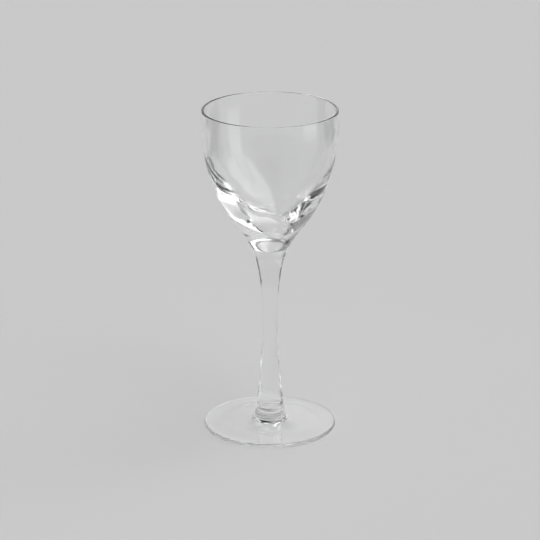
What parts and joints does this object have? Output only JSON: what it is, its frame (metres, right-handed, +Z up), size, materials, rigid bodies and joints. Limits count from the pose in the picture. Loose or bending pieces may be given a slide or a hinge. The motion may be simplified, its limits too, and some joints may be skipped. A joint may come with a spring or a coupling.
{
  "type": "cordial glass",
  "caption": "Clear stemmed cordial glass: a round bowl with soft ridges inside and a thick bottom, on a slim solid stem and a flat disc foot.",
  "frame": {"origin": "centre of the flat ring under the foot, on the glass's axis", "axes": "+Z up along the glass's axis, +X and +Y across it; the ridges inside the bowl are placed from +X"},
  "size_m": [0.0614, 0.0614, 0.15],
  "materials": {
    "clear_crystal": "clear polished glass with a faint grey-green tint where it is thick"
  },
  "bodies": {
    "root": {"bowl": "clear_crystal", "stem": "clear_crystal", "foot": "clear_crystal"}
  },
  "joints": []
}
